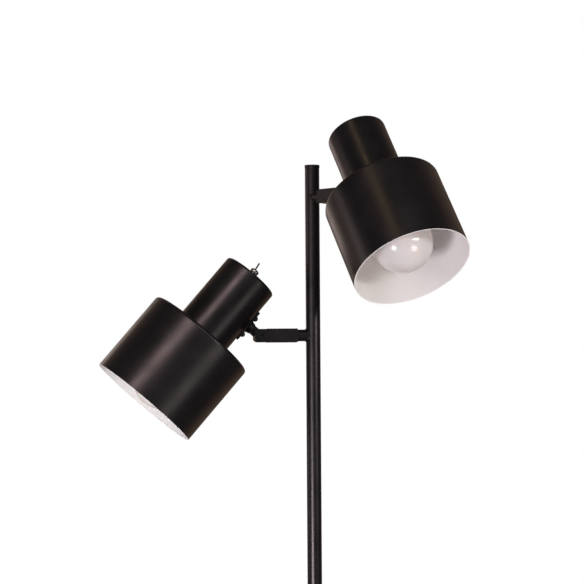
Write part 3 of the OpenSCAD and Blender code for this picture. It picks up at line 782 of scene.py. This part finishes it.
dome_outwards = Matrix.Rotation(-math.pi / 2, 4, "Y")
for side in SIDES:
    for spot, rise in (("upper", screw_spacing), ("lower", -screw_spacing)):
        place = tongue[side] @ Matrix.Translation((plate_face, 0, rise)) @ dome_outwards
        screw = domed_screw(f"{side}_{spot}_screw")
        set_in(screw, place, side + "_head", "black_steel", f"{side}_screw_{spot}")

# %% Pivot screws
pivot_head_r = 3.5 * MM
pivot_head_height = 1.4 * MM
pivot_shank_r = 2 * MM
pivot_seat = 5.8 * MM
pivot_end = pivot_seat + pivot_head_height

for side in SIDES:
    screw = lathe(side + "_pivot_bolt", [
        (0, -pivot_end), (pivot_shank_r, -pivot_end, 0.4 * MM),
        (pivot_shank_r, pivot_seat), (pivot_head_r, pivot_seat, 0.1 * MM),
        (pivot_head_r, pivot_end, 0.5 * MM), (0, pivot_end)], turns=48)
    saw_slot(screw, 0.9 * MM, pivot_end, 4 * pivot_head_r)
    set_in(screw, knuckle[side] @ along_y, side + "_arm", "black_steel", side + "_pivot_screw")
print("screws:", 3 * len(SIDES))

# %% [markdown]
# ## The cans
# Cap and shade are spun from one-millimetre sheet. The top edges are rounded where the sheet was pressed
# over the tool, and the open ends are cut square. The shade is black outside and white inside, and the
# white runs round the cut edge, so the rim shows as a thin pale line.

# %% Caps
switch_hole_r = 3.05 * MM
cap_rounding = 3 * MM

for side in SIDES:
    cap = lathe(side + "_cap_can", [
        (switch_hole_r, cap_length), (cap_r, cap_length, cap_rounding), (cap_r, 0, 0.3 * MM),
        (cap_r - sheet, 0, 0.2 * MM), (cap_r - sheet, cap_length - sheet, cap_rounding - sheet),
        (switch_hole_r, cap_length - sheet)], turns=160, steps=10)
    set_in(cap, head[side], side + "_head", "black_paint", side + "_cap")

# %% Shades
shade_hole_r = 19.9 * MM
shade_rounding = 3.5 * MM


def paint_inside(piece):
    """White on the inner faces of an upright can, and on its cut rim."""
    piece.data.materials.append(black_paint)
    piece.data.materials.append(white_paint)
    for face in piece.data.polygons:
        outward = Vector((face.center.x, face.center.y, 0)).normalized()
        if face.normal.z < -0.5 or face.normal.dot(outward) < -0.2:
            face.material_index = 1


for side in SIDES:
    shade = lathe(side + "_shade_can", [
        (shade_hole_r, 0), (shade_r, 0, shade_rounding), (shade_r, -shade_length, 0.2 * MM),
        (shade_r - sheet, -shade_length, 0.2 * MM), (shade_r - sheet, -sheet, shade_rounding - sheet),
        (shade_hole_r, -sheet)], turns=256, steps=10)
    paint_inside(shade)
    set_in(shade, head[side], side + "_head", "shade_paint", side + "_shade")
print("shade:", round(2 * shade_r, 4), "m across,", round(shade_length, 4), "m deep")

# %% [markdown]
# ## Lampholder and bulb
# A ring with grip notches clamps the shade against the lampholder's flange. The holder's skirt carries the
# coarse thread that the ring runs on. A thread is a ridge that climbs by one pitch in each turn, so the
# radius of each point depends on its height and on its angle together.

# %% Threads and notches
def thread(pitch, depth, low, high):
    """A warp that cuts a round thread between two heights."""
    def warp(angle, radius, height):
        if not low < height < high:
            return radius, height
        fade = min(1, (height - low) / pitch, (high - height) / pitch)
        turn = height / pitch - angle / (2 * math.pi)
        return radius - depth * fade * (0.5 - 0.5 * math.cos(2 * math.pi * turn)), height
    return warp


def notches(count, outer, notch):
    """A warp that cuts round notches into everything at the outer radius."""
    def warp(angle, radius, height):
        spacing = 2 * math.pi / count
        off = abs((angle + spacing / 2) % spacing - spacing / 2)
        if radius < outer - notch or outer * math.sin(off) > notch:
            return radius, height
        cut = outer * math.cos(off) - math.sqrt(notch ** 2 - (outer * math.sin(off)) ** 2)
        return min(radius, cut), height
    return warp


# %% Shade rings
ring_r = 27 * MM
ring_low = -8 * MM
ring_notches = 24
notch_r = 1.2 * MM

for side in SIDES:
    ring = lathe(side + "_clamp_ring", [
        (shade_hole_r, -sheet), (ring_r, -sheet, 0.3 * MM), (ring_r, ring_low, 0.8 * MM),
        (shade_hole_r, ring_low, 0.4 * MM)],
        turns=ring_notches * 16, warp=notches(ring_notches, ring_r, notch_r), steps=4)
    set_in(ring, head[side], side + "_head", "white_plastic", side + "_shade_ring")

# %% Lampholders
skirt_r = 19.8 * MM
skirt_low = -17 * MM
flange_r = 23 * MM
flange_top = 3 * MM
body_r = 18 * MM
body_top = 28 * MM
nipple_r = 5 * MM
nipple_top = 35 * MM
cavity_r = 14.1 * MM
shell_top = 11.7 * MM
ring_thread = thread(2 * MM, 0.9 * MM, skirt_low + 0.8 * MM, -0.5 * MM)

for side in SIDES:
    holder = lathe(side + "_lampholder", [
        (cavity_r, skirt_low, 0.6 * MM), (skirt_r, skirt_low, 0.6 * MM), (skirt_r, 0),
        (flange_r, 0, 0.3 * MM), (flange_r, flange_top, 0.3 * MM), (body_r, flange_top),
        (body_r, body_top, 0.5 * MM), (nipple_r, body_top), (nipple_r, nipple_top, 0.3 * MM),
        (wire_bore_r, nipple_top), (wire_bore_r, shell_top), (cavity_r, shell_top)],
        warp=ring_thread, longest=0.3 * MM)
    set_in(holder, head[side], side + "_head", "white_plastic", side + "_holder")

# %% [markdown]
# The screw shell and the bulb's own screw base are rolled from thin sheet, so their threads show inside and
# outside alike. Both use the same thread, in step, as they would when the bulb is screwed home.

# %% Screw shells and bulb bases
shell_r = 14 * MM
shell_bore_r = 13.3 * MM
shell_low = -15.5 * MM
contact_top = 11 * MM
cup_r = 13.2 * MM
cup_sheet = 0.7 * MM
cup_top = 6.5 * MM
contact_r = 4.5 * MM
contact_edge = contact_top - 1 * MM
rolled_thread = thread(3.6 * MM, 0.5 * MM, -14.5 * MM, 5 * MM)

for side in SIDES:
    shell = lathe(side + "_rolled_shell", [
        (shell_bore_r, shell_low, 0.2 * MM), (shell_r, shell_low, 0.2 * MM), (shell_r, shell_top, 0.3 * MM),
        (0, shell_top), (0, contact_top), (shell_bore_r, contact_top)],
        warp=rolled_thread, longest=0.5 * MM, turns=64, steps=2)
    set_in(shell, head[side], side + "_head", "brass", side + "_screw_shell")
    cup = lathe(side + "_bulb_cup", [
        (cup_r - cup_sheet, -base_rim, 0.2 * MM), (cup_r, -base_rim, 0.2 * MM), (cup_r, cup_top, 0.5 * MM),
        (contact_r, contact_edge), (contact_r, contact_top, 0.4 * MM), (0, contact_top),
        (0, cup_top - cup_sheet), (cup_r - cup_sheet, cup_top - cup_sheet)],
        warp=rolled_thread, longest=0.5 * MM, turns=64, steps=2)
    set_in(cup, head[side], side + "_head", "nickel", side + "_bulb_base")

# %% [markdown]
# The bulb is blown glass: a ball whose neck leaves it along a hollow curve. The curve is one arc that
# touches both the ball and the neck, and its radius follows from that. The frost is a fine etching inside
# the glass, which makes the bulb look like milk with a shine on it.

# %% Bulbs
bulb_neck_r = 13.2 * MM
neck_in_cup_r = bulb_neck_r - 0.9 * MM
neck_in_cup = 6 * MM
ball_steps = 40
hollow_steps = 14


def bulb_outline():
    """From the bottom of the ball up to the end of the neck."""
    rise = bulb_drop - base_rim
    hollow_r = (rise ** 2 - bulb_r ** 2 + bulb_neck_r ** 2) / (2 * (bulb_r - bulb_neck_r))
    hollow = Vector((bulb_neck_r + hollow_r, rise))
    touch = math.atan2(hollow.y, hollow.x)
    points = [Vector((0, -bulb_r))]
    for i in range(1, ball_steps + 1):
        angle = -math.pi / 2 + (touch + math.pi / 2) * i / ball_steps
        points.append(Vector((math.cos(angle), math.sin(angle))) * bulb_r)
    for i in range(1, hollow_steps + 1):
        angle = math.pi + touch - touch * i / hollow_steps
        points.append(hollow + Vector((math.cos(angle), math.sin(angle))) * hollow_r)
    neck_top = rise + neck_in_cup
    points += [Vector(spot) for spot in ((neck_in_cup_r, rise), (neck_in_cup_r, neck_top), (0, neck_top))]
    return [(point.x, point.y - bulb_drop) for point in points]


for side in SIDES:
    bulb = lathe(side + "_frosted_bulb", bulb_outline(), turns=96)
    bulb.data.shade_smooth()
    set_in(bulb, head[side], side + "_head", "frosted_glass", side + "_bulb")
print("bulb:", round(2 * bulb_r, 3), "m across")

# %% [markdown]
# ## The switches
# A small toggle switch sits in the middle of each cap. A round nut on its threaded bushing holds it, a
# domed dress ring hides the thread's end, and the lever tilts on a ball in the bushing.

# %% Switches
switch_nut_r = 5.2 * MM
switch_nut_height = 5 * MM
bushing_r = 3 * MM
bushing_bore_r = 1.9 * MM
dress_r = 4.9 * MM
dress_bore_r = 2.3 * MM
dress_top = 8.6 * MM

for side in SIDES:
    top = head[side] @ Matrix.Translation((0, 0, cap_length))
    nut = lathe(side + "_domed_nut", [
        (bushing_r, 0), (switch_nut_r, 0, 0.15 * MM), (switch_nut_r, switch_nut_height, 1.7 * MM),
        (bushing_r, switch_nut_height, 0.25 * MM)], turns=64, steps=10)
    set_in(nut, top, side + "_head", "nickel", side + "_switch_nut")
    bushing = lathe(side + "_threaded_bushing", [
        (bushing_bore_r, -sheet), (bushing_r, -sheet), (bushing_r, switch_nut_height, 0.3 * MM),
        (bushing_bore_r, switch_nut_height, 0.3 * MM)], turns=48)
    set_in(bushing, top, side + "_head", "nickel", side + "_switch_bushing")
    dress = lathe(side + "_dress_ring", [
        (dress_bore_r, switch_nut_height), (dress_r, switch_nut_height, 0.15 * MM),
        (dress_r, dress_top, 2.2 * MM), (dress_bore_r, dress_top, 0.2 * MM)], turns=64, steps=10)
    set_in(dress, top, side + "_head", "nickel")

# %% [markdown]
# The lever is one turned pin: a tail that works the contacts, the ball, a slim root and a rounded tip. It
# stands a few degrees off the cap's axis, as a thrown switch does.

# %% Levers
ball_r = 1.85 * MM
ball_starts = -math.pi / 2 + 0.5
ball_sweep = math.pi - 0.95
lever_ball_steps = 10
lever_tip_r = 0.95 * MM
lever_root_r = 0.8 * MM
lever_root_end = 2.2 * MM
lever_length = 14.5 * MM
lever_tail = 5 * MM
lever_lean = math.radians(8)

for side in SIDES:
    sweep = [ball_starts + ball_sweep * i / lever_ball_steps for i in range(lever_ball_steps + 1)]
    ball = [(ball_r * math.cos(angle), ball_r * math.sin(angle)) for angle in sweep]
    lever = lathe(side + "_toggle_lever", [
        (0, -lever_tail), (lever_tip_r, -lever_tail, 0.3 * MM), (lever_tip_r, ball[0][1])] + ball + [
        (lever_root_r, lever_root_end, 0.4 * MM), (lever_tip_r, lever_length, 0.8 * MM),
        (0, lever_length)], turns=32)
    # Painted shade: the lever takes the darker copy of nickel, so that it mirrors less of the studio's
    # lights.
    lever.data.materials.append(nickel_with_painted_shade)
    ball_centre = head[side] @ Matrix.Translation((0, 0, cap_length + ball_height))
    leaning = ball_centre @ Matrix.Rotation(lever_lean, 4, "Y")
    set_in(lever, leaning, side + "_switch", "nickel", side + "_lever")
print("levers:", len(SIDES))

# %% [markdown]
# ## The floor
# The floor is a wide pale disc, and it isn't part of the lamp. It has two jobs. It throws light back up into
# the shades, as dimly as the studio's floor did, and it is seen in pictures of the whole lamp, where it
# should be pale and catch the base's soft shadow. No one brightness does both, so there are two discs in
# one place: light that bounces meets only the first, and the camera only the second, which has a broad
# light of its own.

# %% Floor
floor_r = 3.2
floor_depth = 20 * MM
floor_brightness = 2.2
floor_softness = math.radians(60)


def floor_disc(name):
    disc = lathe(name, [(0, -floor_depth), (floor_r, -floor_depth), (floor_r, 0), (0, 0)], turns=128)
    disc.data.materials.append(floor_paint)
    disc.visible_glossy = False
    disc.visible_shadow = False
    return disc


bounce_floor = floor_disc("floor_for_bounces")
bounce_floor.visible_camera = False
seen_floor = floor_disc("floor_for_the_camera")
seen_floor.visible_diffuse = False

lit_floor = bpy.data.collections.new("lit floor")
lit_floor.objects.link(seen_floor)
sky = bpy.data.lights.new("floor light", "SUN")
sky.energy = floor_brightness
sky.angle = floor_softness
floor_light = bpy.data.objects.new("floor light", sky)
floor_light.rotation_euler = (math.radians(15), math.radians(-20), 0)
floor_light.light_linking.receiver_collection = lit_floor
bpy.context.scene.collection.objects.link(floor_light)
print("floor:", 2 * floor_r, "m across")

# %% [markdown]
# ## Which light reaches what
# A light that is given a collection lights only the objects in it. Here every piece goes into the group of
# the lamp's part that it belongs to, by the first word of its name.

# %% Groups for the lights
for piece in bpy.context.scene.objects:
    if piece.type == "MESH":
        first_word = piece.name.split("_")[0]
        group = {"right": lit_right_head, "pole": lit_pole}.get(first_word, lit_rest)
        group.objects.link(piece)
